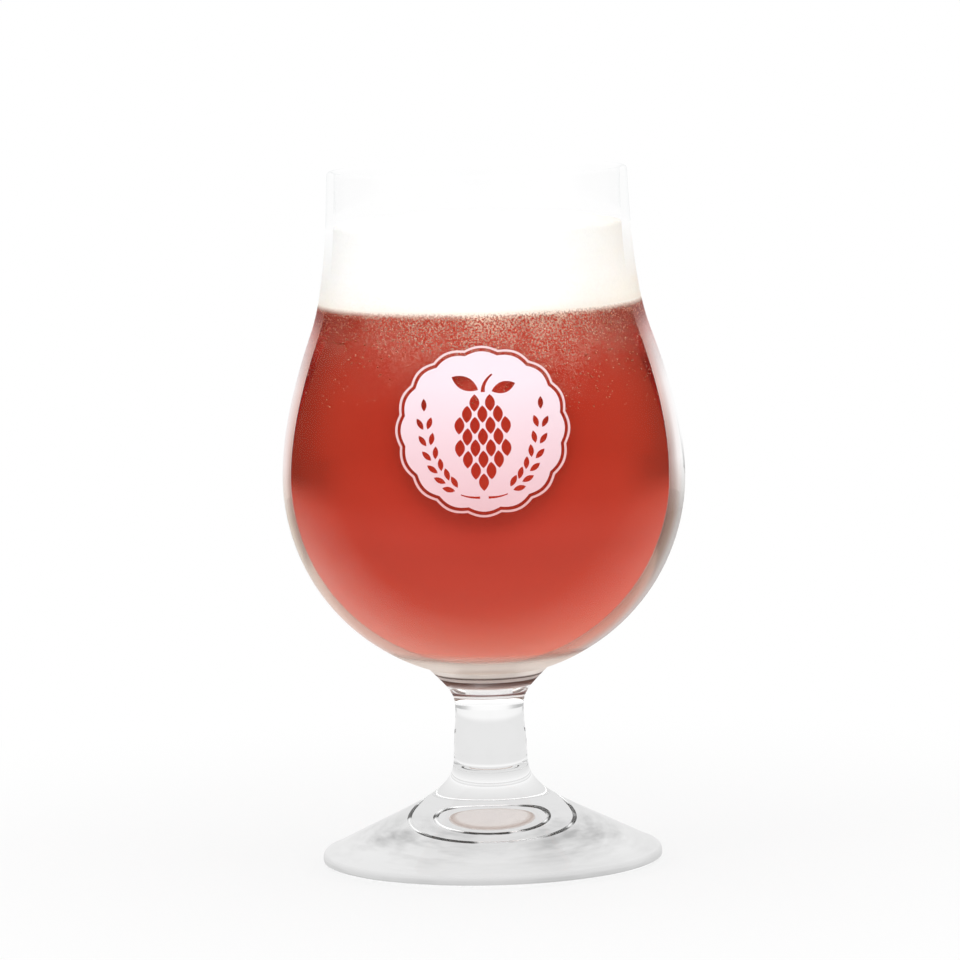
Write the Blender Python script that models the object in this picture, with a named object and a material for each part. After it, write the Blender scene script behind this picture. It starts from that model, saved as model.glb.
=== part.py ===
"""A short-stemmed beer snifter, poured and printed.

Metres, +Z up. The origin is the centre of the ring that the foot rests on, the glass is turned about the
Z axis, and the print on the bowl faces -Y.
"""

import math

import bmesh
import bpy
from mathutils import Vector
from mathutils.geometry import interpolate_bezier

MM = 0.001

# Foot, from the table up
FOOT_DIAMETER = 73.0 * MM
FOOT_EDGE = 3.0 * MM
FOOT_EDGE_ROUNDING = 1.3 * MM
FOOT_HEIGHT = 22.5 * MM
FOOT_SLOPE = math.radians(27.0)
REST_RING_WIDTH = 4.5 * MM
KICK_DIAMETER = 34.0 * MM
KICK_DEPTH = 1.6 * MM
DIMPLE_DIAMETER = 15.2 * MM
DIMPLE_DEPTH = 2.0 * MM

# Stem, from the foot up to the collar under the bowl
STEM_LENGTH = 19.6 * MM
STEM_LOW_DIAMETER = 15.8 * MM
STEM_WAIST_DIAMETER = 14.7 * MM
COLLAR_DIAMETER = 26.0 * MM
COLLAR_HEIGHT = 8.6 * MM
COLLAR_SLOPE = math.radians(46.0)

# Bowl, from the collar up: a round belly, a shoulder that leans in and a near-straight lip
BELLY_DIAMETER = 86.2 * MM
SHOULDER_DIAMETER = 72.6 * MM
SHOULDER_RISE = 31.2 * MM
SHOULDER_LEAN = math.radians(20.0)
RIM_DIAMETER = 64.0 * MM
RIM_RISE = 34.6 * MM
RIM_LEAN = math.radians(1.8)
WALL = 2.5 * MM
RIM_WALL = 1.6 * MM
PAD_DIAMETER = 31.4 * MM

# Drink: the head stops short of the rim, and the beer fills what is left below it
HEADSPACE = 11.0 * MM
HEAD_HEIGHT = 17.2 * MM
HEAD_CROWN = 1.6 * MM
HEAD_EDGE_ROUNDING = 1.2 * MM

# Print on the front of the bowl
PRINT_RISE = 13.8 * MM
PRINT_DIAMETER = 34.9 * MM
PRINT_SQUASH = 0.96
PRINT_LOBES = 16
PRINT_LOBE_DEPTH = 0.7 * MM
PRINT_LINE_GAP = 0.7 * MM
PRINT_LINE_WIDTH = 0.55 * MM
PRINT_THICKNESS = 0.15 * MM

# Clearances between neighbours
SEAM_GAP = 0.05 * MM
DRINK_GAP = 0.3 * MM
HEAD_GAP = 0.1 * MM
PRINT_GAP = 0.1 * MM

# How finely round shapes are divided
TURN_STEPS = 40
BEND_STEPS = 4
CURVE_STEPS = 7
PRINT_CELL = 3.0 * MM
POINTS_PER_LOBE = 4
MERGE_DISTANCE = 0.000001

# Heights and radii that follow from the sizes above
STEM_TOP = FOOT_HEIGHT + STEM_LENGTH
BELLY_RADIUS = BELLY_DIAMETER / 2
BELLY_HEIGHT = STEM_TOP + math.sqrt(BELLY_RADIUS**2 - (COLLAR_DIAMETER / 2) ** 2)
SHOULDER_HEIGHT = BELLY_HEIGHT + SHOULDER_RISE
RIM_HEIGHT = SHOULDER_HEIGHT + RIM_RISE
HEAD_TOP = RIM_HEIGHT - HEADSPACE
BEER_TOP = HEAD_TOP - HEAD_HEIGHT
PRINT_HEIGHT = BELLY_HEIGHT + PRINT_RISE


def clear_scene():
    for old in list(bpy.data.objects):
        bpy.data.objects.remove(old, do_unlink=True)


def make_material(name, colour, roughness, transmission=0.0, alpha=1.0):
    material = bpy.data.materials.new(name)
    material.use_nodes = True
    shader = material.node_tree.nodes["Principled BSDF"]
    shader.inputs["Base Color"].default_value = (*colour, 1.0)
    shader.inputs["Roughness"].default_value = roughness
    shader.inputs["Metallic"].default_value = 0.0
    shader.inputs["Transmission Weight"].default_value = transmission
    shader.inputs["Alpha"].default_value = alpha
    return material


def finish(name, shape, material, parent, sharp_angle):
    """Turn a closed bmesh into a named object, shaded smooth between its sharp edges."""
    bmesh.ops.recalc_face_normals(shape, faces=shape.faces)
    mesh = bpy.data.meshes.new(name)
    shape.to_mesh(mesh)
    shape.free()
    mesh.shade_smooth()
    mesh.set_sharp_from_angle(angle=sharp_angle)
    mesh.materials.append(material)
    piece = bpy.data.objects.new(name, mesh)
    piece.parent = parent
    bpy.context.collection.objects.link(piece)
    return piece


def curve(start, start_handle, end_handle, end, steps=CURVE_STEPS):
    """Points along a Bezier curve in the half plane of radius and height."""
    knots = [Vector((radius, 0, height)) for radius, height in (start, start_handle, end_handle, end)]
    return [(point.x, point.z) for point in interpolate_bezier(*knots, steps + 1)]


def arc(centre, radius, first_angle, last_angle, steps=BEND_STEPS):
    """Points along a circular arc, angles measured from the outward direction."""
    turn = (last_angle - first_angle) / steps
    angles = [first_angle + turn * step for step in range(steps + 1)]
    return [(centre[0] + radius * math.cos(a), centre[1] + radius * math.sin(a)) for a in angles]


def inset(points, depth):
    """Move an outline that runs upwards towards the axis, square to its own slope."""
    moved = []
    for index, (radius, height) in enumerate(points):
        before = points[max(index - 1, 0)]
        after = points[min(index + 1, len(points) - 1)]
        slope = Vector((after[0] - before[0], after[1] - before[1])).normalized()
        moved.append((radius - slope.y * depth, height + slope.x * depth))
    return moved


def radius_at(points, height):
    """Radius of an outline that runs upwards, at one height."""
    for low, high in zip(points, points[1:]):
        if low[1] <= height <= high[1] and high[1] > low[1]:
            share = (height - low[1]) / (high[1] - low[1])
            return low[0] + share * (high[0] - low[0])
    return points[-1][0] if height > points[-1][1] else points[0][0]


def between(points, low, high):
    """The stretch of an outline between two heights, with an end point on each."""
    inside = [point for point in points if low + MERGE_DISTANCE < point[1] < high - MERGE_DISTANCE]
    return [(radius_at(points, low), low), *inside, (radius_at(points, high), high)]


def at_length(points, length):
    """The point of an outline that lies a length along it from its start."""
    for low, high in zip(points, points[1:]):
        step = math.dist(low, high)
        if length <= step:
            return (low[0] + (high[0] - low[0]) * length / step, low[1] + (high[1] - low[1]) * length / step)
        length -= step
    return points[-1]


def turned(name, outline, material, parent, sharp_angle=math.radians(40)):
    """Spin an outline that starts and ends on the axis into a closed solid."""
    shape = bmesh.new()
    corners = [shape.verts.new((max(radius, 0.0), 0.0, height)) for radius, height in outline]
    edges = [shape.edges.new(pair) for pair in zip(corners, corners[1:])]
    bmesh.ops.spin(
        shape,
        geom=corners + edges,
        cent=(0, 0, 0),
        axis=(0, 0, 1),
        angle=math.tau,
        steps=TURN_STEPS,
        use_merge=True,
    )
    bmesh.ops.remove_doubles(shape, verts=shape.verts, dist=MERGE_DISTANCE)
    return finish(name, shape, material, parent, sharp_angle)


def bowl_outside(steps=CURVE_STEPS):
    """The bowl's outer outline from the collar seam up to the start of the rim's rounding."""
    seam_angle = -math.acos(COLLAR_DIAMETER / BELLY_DIAMETER)
    belly = arc((0, BELLY_HEIGHT), BELLY_RADIUS, seam_angle, 0, steps)
    shoulder = (SHOULDER_DIAMETER / 2, SHOULDER_HEIGHT)
    rim = (RIM_DIAMETER / 2, RIM_HEIGHT - RIM_WALL / 2)
    belly_pull = SHOULDER_RISE * 0.33
    shoulder_pull = SHOULDER_RISE * 0.32
    neck_pull = RIM_RISE * 0.2
    rim_pull = RIM_RISE * 0.46
    flank = curve(
        (BELLY_RADIUS, BELLY_HEIGHT),
        (BELLY_RADIUS, BELLY_HEIGHT + belly_pull),
        (shoulder[0] + shoulder_pull * math.tan(SHOULDER_LEAN), shoulder[1] - shoulder_pull),
        shoulder,
        steps,
    )
    lip = curve(
        shoulder,
        (shoulder[0] - neck_pull * math.tan(SHOULDER_LEAN), shoulder[1] + neck_pull),
        (rim[0] + rim_pull * math.tan(RIM_LEAN), rim[1] - rim_pull),
        rim,
        steps,
    )
    return belly + flank[1:] + lip[1:]


def bowl_inside(steps=CURVE_STEPS):
    """The bowl's inner outline from the flat pad at the bottom up to the rim's rounding."""
    inner_radius = BELLY_RADIUS - WALL
    pad_angle = -math.acos(PAD_DIAMETER / 2 / inner_radius)
    belly = arc((0, BELLY_HEIGHT), inner_radius, pad_angle, 0, steps)
    upper = between(bowl_outside(steps), BELLY_HEIGHT, RIM_HEIGHT - RIM_WALL / 2)
    rise = upper[-1][1] - BELLY_HEIGHT
    thinned = [(WALL - RIM_WALL) * ((height - BELLY_HEIGHT) / rise) ** 1.5 for _, height in upper]
    side = [(radius - WALL + less, height) for (radius, height), less in zip(upper, thinned)]
    return [(0, belly[0][1]), *belly, *side[1:]]


def make_foot(material, parent):
    low_radius = STEM_LOW_DIAMETER / 2
    edge_radius = FOOT_DIAMETER / 2
    rounding = min(FOOT_EDGE_ROUNDING, FOOT_EDGE / 2)
    shoulder = (edge_radius - rounding, FOOT_EDGE)
    reach = shoulder[0] - low_radius
    drop = FOOT_HEIGHT - FOOT_EDGE
    trumpet = curve(
        (low_radius, FOOT_HEIGHT - SEAM_GAP),
        (low_radius, FOOT_HEIGHT - drop * 0.38),
        (shoulder[0] - reach * 0.7, shoulder[1] + reach * 0.7 * math.tan(FOOT_SLOPE)),
        shoulder,
    )
    upper_edge = arc((edge_radius - rounding, FOOT_EDGE - rounding), rounding, math.pi / 3, 0, 2)
    lower_edge = arc((edge_radius - rounding, rounding), rounding, 0, -math.pi / 2, 3)
    ring_inner = edge_radius - rounding - REST_RING_WIDTH
    kick_radius = KICK_DIAMETER / 2
    dimple_radius = DIMPLE_DIAMETER / 2
    kick = curve(
        (ring_inner, 0),
        (ring_inner - (ring_inner - kick_radius) * 0.4, 0),
        (kick_radius + (ring_inner - kick_radius) * 0.2, KICK_DEPTH),
        (kick_radius, KICK_DEPTH),
        BEND_STEPS,
    )
    dimple = curve(
        (dimple_radius, KICK_DEPTH),
        (dimple_radius * 0.8, KICK_DEPTH + DIMPLE_DEPTH * 0.7),
        (dimple_radius * 0.4, KICK_DEPTH + DIMPLE_DEPTH),
        (0, KICK_DEPTH + DIMPLE_DEPTH),
        BEND_STEPS,
    )
    outline = [(0, FOOT_HEIGHT - SEAM_GAP), *trumpet, *upper_edge, *lower_edge, *kick, *dimple]
    return turned("foot", outline, material, parent)


def make_stem(material, parent):
    collar_radius = COLLAR_DIAMETER / 2
    waist_radius = STEM_WAIST_DIAMETER / 2
    waist_height = STEM_TOP - COLLAR_HEIGHT
    flare = collar_radius - waist_radius
    collar = curve(
        (collar_radius, STEM_TOP),
        (collar_radius - flare * 0.6, STEM_TOP - flare * 0.6 * math.tan(COLLAR_SLOPE)),
        (waist_radius, waist_height + COLLAR_HEIGHT * 0.4),
        (waist_radius, waist_height),
        BEND_STEPS + 1,
    )
    shank = curve(
        (waist_radius, waist_height),
        (waist_radius, waist_height - (waist_height - FOOT_HEIGHT) * 0.4),
        (STEM_LOW_DIAMETER / 2, FOOT_HEIGHT + (waist_height - FOOT_HEIGHT) * 0.4),
        (STEM_LOW_DIAMETER / 2, FOOT_HEIGHT),
        BEND_STEPS,
    )
    outline = [(0, STEM_TOP), *collar, *shank[1:], (0, FOOT_HEIGHT)]
    return turned("stem", outline, material, parent)


def make_bowl(material, parent):
    rim_centre = (RIM_DIAMETER / 2 - RIM_WALL / 2, RIM_HEIGHT - RIM_WALL / 2)
    rim = arc(rim_centre, RIM_WALL / 2, math.pi, 0)
    outside = bowl_outside()
    seam_height = STEM_TOP + SEAM_GAP
    seam_radius = math.sqrt(BELLY_RADIUS**2 - (BELLY_HEIGHT - seam_height) ** 2)
    seat = [(seam_radius, seam_height), (0, seam_height)]
    outline = [*bowl_inside(), *rim[1:-1], *reversed(outside[1:]), *seat]
    return turned("bowl", outline, material, parent)


def make_beer(material, parent):
    wetted = inset(bowl_inside(), DRINK_GAP)
    bottom = wetted[0][1]
    side = between(wetted[1:], bottom, BEER_TOP)
    return turned("beer", [(0, bottom), *side, (0, BEER_TOP)], material, parent)


def make_foam_head(material, parent):
    floor = BEER_TOP + HEAD_GAP
    wetted = inset(bowl_inside(), DRINK_GAP)
    side = between(wetted, floor, HEAD_TOP - HEAD_EDGE_ROUNDING)
    edge = (side[-1][0] - HEAD_EDGE_ROUNDING, HEAD_TOP)
    top = curve(
        edge,
        (edge[0] * 0.7, HEAD_TOP + HEAD_CROWN * 0.5),
        (edge[0] * 0.4, HEAD_TOP + HEAD_CROWN),
        (0, HEAD_TOP + HEAD_CROWN),
        BEND_STEPS,
    )
    bead = arc((edge[0], HEAD_TOP - HEAD_EDGE_ROUNDING), HEAD_EDGE_ROUNDING, 0, math.pi / 2, 3)
    return turned("foam_head", [(0, floor), *side, *bead[1:-1], *top], material, parent)


def scalloped(diameter):
    """A round outline with shallow lobes, in the flat of the print."""
    points = []
    count = PRINT_LOBES * POINTS_PER_LOBE
    for step in range(count):
        angle = math.tau * step / count
        radius = diameter / 2 - PRINT_LOBE_DEPTH * (1 - abs(math.cos(PRINT_LOBES * angle / 2)))
        points.append((radius * math.cos(angle), radius * math.sin(angle) * PRINT_SQUASH))
    return points


def make_print(name, outlines, material, parent):
    """A thin sheet of enamel in closed flat outlines, laid over the front of the bowl."""
    shape = bmesh.new()
    rings = []
    for outline in outlines:
        corners = [shape.verts.new((across, 0, up)) for across, up in outline]
        rings += [shape.edges.new((corner, corners[index - 1])) for index, corner in enumerate(corners)]
    bmesh.ops.triangle_fill(shape, use_beauty=True, use_dissolve=False, edges=rings)
    reach = PRINT_DIAMETER / 2 + PRINT_LINE_GAP + PRINT_LINE_WIDTH
    cuts = math.ceil(2 * reach / PRINT_CELL)
    for step in range(1, cuts):
        place = -reach + 2 * reach * step / cuts
        for normal in ((1, 0, 0), (0, 0, 1)):
            bmesh.ops.bisect_plane(
                shape,
                geom=[*shape.verts, *shape.edges, *shape.faces],
                dist=MERGE_DISTANCE,
                plane_co=(place * normal[0], 0, place * normal[2]),
                plane_no=normal,
            )
    inner_face = list(shape.verts)
    grown = bmesh.ops.extrude_face_region(shape, geom=list(shape.faces), use_keep_orig=True)
    outer_face = [part for part in grown["geom"] if isinstance(part, bmesh.types.BMVert)]
    bmesh.ops.triangulate(shape, faces=shape.faces)
    outside = bowl_outside(CURVE_STEPS * 4)
    below = between(outside, outside[0][1], PRINT_HEIGHT)
    middle = sum(math.dist(low, high) for low, high in zip(below, below[1:]))
    for face, lift in ((inner_face, PRINT_GAP), (outer_face, PRINT_GAP + PRINT_THICKNESS)):
        for corner in face:
            radius, height = at_length(outside, middle + corner.co.z)
            turn = corner.co.x / radius
            corner.co = ((radius + lift) * math.sin(turn), -(radius + lift) * math.cos(turn), height)
    return finish(name, shape, material, parent, math.radians(50))


def build():
    clear_scene()
    glass = make_material("clear glass", (0.97, 0.98, 0.98), 0.02, transmission=1.0, alpha=0.4)
    red_beer = make_material("red beer", (0.46, 0.06, 0.035), 0.05, transmission=0.6)
    froth = make_material("white froth", (0.95, 0.94, 0.9), 0.8)
    enamel = make_material("pale pink enamel", (0.93, 0.78, 0.82), 0.3)
    line_enamel = make_material("outline enamel", (0.88, 0.66, 0.68), 0.3)

    glassware = bpy.data.objects.new("snifter", None)
    bpy.context.collection.objects.link(glassware)
    make_foot(glass, glassware)
    make_stem(glass, glassware)
    make_bowl(glass, glassware)
    make_beer(red_beer, glassware)
    make_foam_head(froth, glassware)
    line_inner = PRINT_DIAMETER + 2 * PRINT_LINE_GAP
    line_outer = line_inner + 2 * PRINT_LINE_WIDTH
    make_print("print_field", [scalloped(PRINT_DIAMETER)], enamel, glassware)
    make_print("print_outline", [scalloped(line_outer), scalloped(line_inner)], line_enamel, glassware)


build()
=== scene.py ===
import math
import random

import bmesh
import bpy
from mathutils import Matrix, Vector, noise
from mathutils.geometry import interpolate_bezier


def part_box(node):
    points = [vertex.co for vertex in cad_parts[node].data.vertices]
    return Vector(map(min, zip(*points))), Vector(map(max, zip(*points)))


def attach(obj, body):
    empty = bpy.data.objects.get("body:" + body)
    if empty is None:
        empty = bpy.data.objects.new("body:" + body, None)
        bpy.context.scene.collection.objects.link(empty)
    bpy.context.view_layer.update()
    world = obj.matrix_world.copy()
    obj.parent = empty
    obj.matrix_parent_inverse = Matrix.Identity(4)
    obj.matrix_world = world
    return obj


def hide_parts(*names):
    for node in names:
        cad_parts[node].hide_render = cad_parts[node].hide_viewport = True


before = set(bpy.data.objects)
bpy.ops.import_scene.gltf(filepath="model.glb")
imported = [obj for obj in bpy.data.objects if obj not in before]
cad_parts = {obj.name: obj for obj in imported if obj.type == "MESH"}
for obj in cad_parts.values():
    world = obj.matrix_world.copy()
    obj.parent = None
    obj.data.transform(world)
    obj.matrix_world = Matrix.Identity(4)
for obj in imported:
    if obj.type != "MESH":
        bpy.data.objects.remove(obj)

mm = 0.001
tiny, mergeGap = 1e-6, 1e-7      # heights, and points, that are nearer than this are the same
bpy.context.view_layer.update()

# places that come from the frame
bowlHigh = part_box("bowl")[1]
stemLow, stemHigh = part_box("stem")
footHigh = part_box("foot")[1]
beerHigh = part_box("beer")[1]
headLow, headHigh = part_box("foam_head")
fieldLow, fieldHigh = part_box("print_field")

bellyRadius = bowlHigh.x
collarRadius = stemHigh.x
footRadius = footHigh.x
rimHeight = bowlHigh.z
collarHeight = stemHigh.z
footTop = stemLow.z
bellyHeight = collarHeight + math.sqrt(bellyRadius**2 - collarRadius**2)
bellyWidth, bellyUp = round(2 * bellyRadius / mm, 1), round(bellyHeight / mm, 1)
print("frame read: belly", bellyWidth, "mm across at", bellyUp, "mm")


# small helpers

def bezier(start, startPull, endPull, end, count):
    knots = [Vector((r, 0, z)) for r, z in (start, startPull, endPull, end)]
    return [(p.x, p.z) for p in interpolate_bezier(*knots, count + 1)]


def arcPoints(centre, radius, first, last, count):
    turns = [first + (last - first) * i / count for i in range(count + 1)]
    return [(centre[0] + radius * math.cos(a), centre[1] + radius * math.sin(a)) for a in turns]


def radiusAt(outline, height):
    for low, high in zip(outline, outline[1:]):
        if low[1] <= height <= high[1] and high[1] > low[1]:
            share = (height - low[1]) / (high[1] - low[1])
            return low[0] + share * (high[0] - low[0])
    return outline[-1][0] if height > outline[-1][1] else outline[0][0]


def stretch(outline, low, high):
    inner = [p for p in outline if low + tiny < p[1] < high - tiny]
    return [(radiusAt(outline, low), low), *inner, (radiusAt(outline, high), high)]


def pointAlong(outline, length):
    for low, high in zip(outline, outline[1:]):
        step = math.dist(low, high)
        if length <= step:
            share = length / step
            return (low[0] + (high[0] - low[0]) * share, low[1] + (high[1] - low[1]) * share)
        length -= step
    return outline[-1]


def spinShape(outline, steps):
    bm = bmesh.new()
    points = [bm.verts.new((max(r, 0), 0, z)) for r, z in outline]
    lines = [bm.edges.new(pair) for pair in zip(points, points[1:])]
    bmesh.ops.spin(bm, geom=points + lines, cent=(0, 0, 0), axis=(0, 0, 1),
                   angle=math.tau, steps=steps, use_merge=True)
    bmesh.ops.remove_doubles(bm, verts=bm.verts, dist=mergeGap)
    bmesh.ops.recalc_face_normals(bm, faces=bm.faces)
    return bm


def pieceFrom(bm, name, materials, sharpAngle=35):
    mesh = bpy.data.meshes.new(name)
    bm.to_mesh(mesh)
    bm.free()
    mesh.shade_smooth()
    mesh.set_sharp_from_angle(angle=math.radians(sharpAngle))
    for material in materials:
        mesh.materials.append(material)
    piece = bpy.data.objects.new(name, mesh)
    bpy.context.scene.collection.objects.link(piece)
    return piece


def newMaterial(name):
    material = bpy.data.materials.new(name)
    material.use_nodes = True
    tree = material.node_tree
    return material, tree, tree.nodes["Principled BSDF"]


def bareMaterial(name):
    material, tree, shader = newMaterial(name)
    tree.nodes.remove(shader)
    return material, tree


def addNode(tree, kind, inputs=None, **settings):
    # an input is a plain value, or the node and output that it is linked to
    node = tree.nodes.new("ShaderNode" + kind)
    for key, value in settings.items():
        setattr(node, key, value)
    for key, value in (inputs or {}).items():
        if isinstance(value, tuple) and isinstance(value[0], bpy.types.Node):
            tree.links.new(value[0].outputs[value[1]], node.inputs[key])
        else:
            node.inputs[key].default_value = value
    return node


def rampNode(tree, factor, stops):
    node = addNode(tree, "ValToRGB", {"Fac": factor})
    while len(node.color_ramp.elements) < len(stops):
        node.color_ramp.elements.new(0.5)
    for element, (position, colour) in zip(node.color_ramp.elements, stops):
        element.position = position
        element.color = (*colour, 1) if isinstance(colour, tuple) else (colour, colour, colour, 1)
    return node


def rangeNode(tree, value, start, end, first=0.0, last=1.0, blend="LINEAR"):
    limits = {"From Min": start, "From Max": end, "To Min": first, "To Max": last}
    return addNode(tree, "MapRange", {"Value": value, **limits}, interpolation_type=blend)


def mathNode(tree, operation, *values, clamp=False):
    return addNode(tree, "Math", dict(enumerate(values)), operation=operation, use_clamp=clamp)


def vectorNode(tree, operation, *values):
    return addNode(tree, "VectorMath", dict(enumerate(values)), operation=operation)


mixed = 2      # a colour mix has its colours at inputs 6 and 7, and gives its own at output 2

def colourMix(tree, factor, first, second, blend="MIX"):
    return addNode(tree, "Mix", {0: factor, 6: first, 7: second}, data_type="RGBA", blend_type=blend)


def shaderMix(tree, factor, first, second):
    return addNode(tree, "MixShader", {"Fac": factor, 1: first, 2: second})


def feed(target, socket, node, output):
    target.id_data.links.new(node.outputs[output], target.inputs[socket])


def show(tree, node, output="Shader"):
    feed(tree.nodes["Material Output"], "Surface", node, output)


# camera

cameraSet = {
    "distance": 1.22, "height": 0.214, "lens": 215.1, "sensor": 36.0,
    "aim": (-0.00085, 0.0, 0.0823), "roll": -1.38, "near": 0.01, "far": 50,
}

def makeCamera():
    s = cameraSet
    data = bpy.data.cameras.new("camera")
    data.lens, data.sensor_width = s["lens"], s["sensor"]
    data.clip_start, data.clip_end = s["near"], s["far"]
    camera = bpy.data.objects.new("camera", data)
    bpy.context.scene.collection.objects.link(camera)
    place = Vector((0, -s["distance"], s["height"]))
    look = (Vector(s["aim"]) - place).to_track_quat("-Z", "Y").to_matrix().to_4x4()
    roll = Matrix.Rotation(math.radians(s["roll"]), 4, "Z")
    camera.matrix_world = Matrix.Translation(place) @ look @ roll
    bpy.context.scene.camera = camera

makeCamera()
print("camera placed")


# glass

glassSet = {
    "steps": 192, "count": 28,
    "shoulderDiameter": 72.6 * mm, "shoulderRise": 31.2 * mm, "shoulderLean": math.radians(20),
    "rimDiameter": 64.0 * mm, "rimLean": math.radians(1.8),
    "bellyPull": 0.33, "shoulderPull": 0.32, "lipPull": 0.2, "rimPull": 0.46,
    "wall": 2.5 * mm, "rimWall": 1.6 * mm, "thinning": 1.5, "padRadius": 15.7 * mm,
    "seamGap": 0.004 * mm, "ior": 1.5,
    "uneven": 0.6 * mm,                        # how much thicker than the mean the wall is on the right
    "bandDrop": 6 * mm, "bandRise": 4 * mm,    # the lines by the seam start and end there
    "baseRise": 3.8 * mm,                      # the bowl's part of them
    "thinDrop": 14 * mm, "neckDrop": 2 * mm,   # the wall turns thin there, below the top of the head
}

stemSet = {
    "waistRadius": 7.35 * mm, "lowRadius": 7.9 * mm, "collar": 8.6 * mm, "slope": math.radians(46),
    "collarPull": 0.6, "pull": 0.4,
}

footSet = {
    "edge": 3.0 * mm, "rounding": 1.3 * mm, "slope": math.radians(27), "ring": 4.5 * mm,
    "kickRadius": 14.7 * mm, "kickDepth": 1.6 * mm, "midRadius": 9.5 * mm, "groove": 0.46 * mm,
    "dimpleRadius": 7.2 * mm, "dimpleDepth": 2.0 * mm,
    "dimpleRim": 0.8, "dimpleRise": 0.7, "dimpleFlat": 0.4,
    "topPull": 0.38, "edgePull": 0.7, "ringPull": 0.4, "kickPull": 0.2,
    # heights and widths at which its finishes change
    "upperFrom": 2.5 * mm, "underTo": 4 * mm, "edgeBand": 1.2 * mm, "edgeTo": 2.9 * mm,
    "clearRise": 5 * mm,
}

def setOff(bm, chosen=None):
    # the inside of the bowl, and what fills it, sits a little left of the axis and true at the rim
    for vert in chosen or bm.verts:
        share = (rimHeight - vert.co.z) / (rimHeight - bellyHeight)
        vert.co.x -= glassSet["uneven"] * min(max(share, 0), 1)


def bowlOutside():
    s = glassSet
    n = s["count"]
    seam = -math.acos(collarRadius / bellyRadius)
    belly = arcPoints((0, bellyHeight), bellyRadius, seam, 0, n)
    shoulder = (s["shoulderDiameter"] / 2, bellyHeight + s["shoulderRise"])
    rim = (s["rimDiameter"] / 2, rimHeight - s["rimWall"] / 2)
    rise, lipRise = s["shoulderRise"], rimHeight - shoulder[1]
    lean, rimLean = math.tan(s["shoulderLean"]), math.tan(s["rimLean"])
    reach = rise * s["shoulderPull"]
    flank = bezier((bellyRadius, bellyHeight), (bellyRadius, bellyHeight + rise * s["bellyPull"]),
                   (shoulder[0] + reach * lean, shoulder[1] - reach), shoulder, n)
    lipReach, rimReach = lipRise * s["lipPull"], lipRise * s["rimPull"]
    lip = bezier(shoulder, (shoulder[0] - lipReach * lean, shoulder[1] + lipReach),
                 (rim[0] + rimReach * rimLean, rim[1] - rimReach), rim, n)
    return belly + flank[1:] + lip[1:]


def bowlInside():
    # a flat pad at the bottom, then the outside's own curve one wall thickness in, thinning to the rim
    s = glassSet
    inner = bellyRadius - s["wall"]
    padEdge = -math.acos(s["padRadius"] / inner)
    padHeight = bellyHeight + inner * math.sin(padEdge)
    pad = [(s["padRadius"] * share, padHeight) for share in (0, 0.3, 0.6, 0.85)]
    belly = arcPoints((0, bellyHeight), inner, padEdge, 0, s["count"])
    upper = stretch(bowlOutside(), bellyHeight, rimHeight - s["rimWall"] / 2)
    reach = upper[-1][1] - bellyHeight
    thin = s["wall"] - s["rimWall"]
    side = [(r - s["wall"] + thin * ((z - bellyHeight) / reach) ** s["thinning"], z) for r, z in upper]
    return pad + belly + side[1:]


def objectParts(tree):
    place = addNode(tree, "TexCoord")
    parts = addNode(tree, "SeparateXYZ", {0: (place, "Object")})
    return place, parts


def glassWaves(tree, *lobes):
    # the wall is never quite even
    place = addNode(tree, "TexCoord")
    waves = addNode(tree, "TexNoise", {"Scale": 30.0, "Detail": 1.0, "Vector": (place, "Object")})
    bump = addNode(tree, "Bump", {"Strength": 0.02, "Distance": 0.002, "Height": (waves, "Fac")})
    for lobe in lobes:
        feed(lobe, "Normal", bump, "Normal")


def turnedNode(tree, around, along):
    # coordinates that run round the axis: direction, stretched by around, and distance, by along
    place = addNode(tree, "TexCoord")
    flat = vectorNode(tree, "MULTIPLY", (place, "Object"), (1, 1, 0))
    away = vectorNode(tree, "LENGTH", (flat, 0))
    level = vectorNode(tree, "NORMALIZE", (flat, 0))
    ahead = addNode(tree, "VectorMath", {0: (level, 0), "Scale": around}, operation="SCALE")
    parts = addNode(tree, "SeparateXYZ", {0: (ahead, 0)})
    out = mathNode(tree, "MULTIPLY", (away, "Value"), along)
    turned = addNode(tree, "CombineXYZ", {"X": (parts, "X"), "Y": (parts, "Y"), "Z": (out, 0)})
    return turned, away, level


def pressedGlass(radius):
    # the dimple comes off the mould a little frosted; its see-through colour is pinkish, with a browner
    # ring towards its edge that is a painted reflection
    material, tree, shader = newMaterial("pressed glass")
    turned, away = turnedNode(tree, 2.0, 200.0)[:2]
    share = rangeNode(tree, (away, "Value"), 0.0, radius)
    shade = rampNode(tree, (share, "Result"), [
        (0.0, (0.93, 0.87, 0.85)), (0.8, (0.92, 0.86, 0.83)), (0.93, (0.66, 0.55, 0.5)),
        (1.0, (0.86, 0.82, 0.8))])
    clear = addNode(tree, "BsdfTransparent", {"Color": (shade, "Color")})
    grain = addNode(tree, "TexNoise", {"Scale": 1.0, "Detail": 1.0, "Vector": (turned, 0)})
    rough = rangeNode(tree, (grain, "Fac"), 0.0, 1.0, 0.36, 0.54)
    frost = rangeNode(tree, (grain, "Fac"), 0.0, 1.0, 0.1, 0.2)
    frosted = shaderMix(tree, (frost, "Result"), (clear, "BSDF"), (shader, "BSDF"))
    feed(shader, "Base Color", shade, "Color")
    feed(shader, "Roughness", rough, "Result")
    show(tree, frosted)
    return material


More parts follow.
